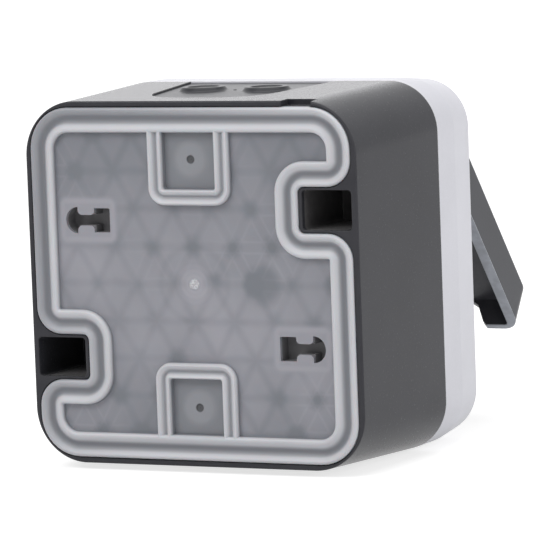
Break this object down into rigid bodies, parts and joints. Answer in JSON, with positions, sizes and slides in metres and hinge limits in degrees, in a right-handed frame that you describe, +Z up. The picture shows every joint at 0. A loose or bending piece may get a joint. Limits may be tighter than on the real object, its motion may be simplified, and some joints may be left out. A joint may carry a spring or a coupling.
{
  "type": "splash-proof socket",
  "caption": "Square surface-mounted splash-proof power socket with a sealed back, side cable entries and a hinged lid standing half open.",
  "frame": {"origin": "centre of the wall contact plane, on the crest of the rear seal's lips", "axes": "+Z up, +Y into the wall, so the front faces -Y; +X is to the left seen from behind"},
  "size_m": [0.0774, 0.0971, 0.0774],
  "materials": {
    "housing": "fine matt grain",
    "membrane": "matt",
    "seal": "translucent satin",
    "frame": "satin",
    "lid": "satin",
    "insert": "satin",
    "carrier": "matt",
    "gasket": "matt",
    "brass": "bright",
    "steel": "zinc plated"
  },
  "bodies": {
    "socket": {"rear_housing": "housing", "rear_seal": "seal", "top_entry_membrane": "membrane", "bottom_entry_membrane": "membrane", "frame_gasket": "gasket", "cover_frame": "frame", "well_gasket": "gasket", "socket_well": "insert", "contact_carrier": "carrier", "live_contact": "brass", "neutral_contact": "brass", "earth_strap": "steel", "live_terminal_screw": "steel", "neutral_terminal_screw": "steel", "earth_terminal_screw": "steel", "carrier_screw_left": "steel", "carrier_screw_right": "steel", "central_screw": "steel", "hinge_pin_left": "steel", "hinge_pin_right": "steel"},
    "lid": {"lid": "lid", "lid_gasket": "gasket"}
  },
  "joints": [
    {"name": "lid_hinge", "type": "hinge", "parent": "socket", "child": "lid", "pos_m": [0, -0.0529, 0.0283], "axis": [-1, 0, 0], "range_deg": [-42, 50]}
  ]
}
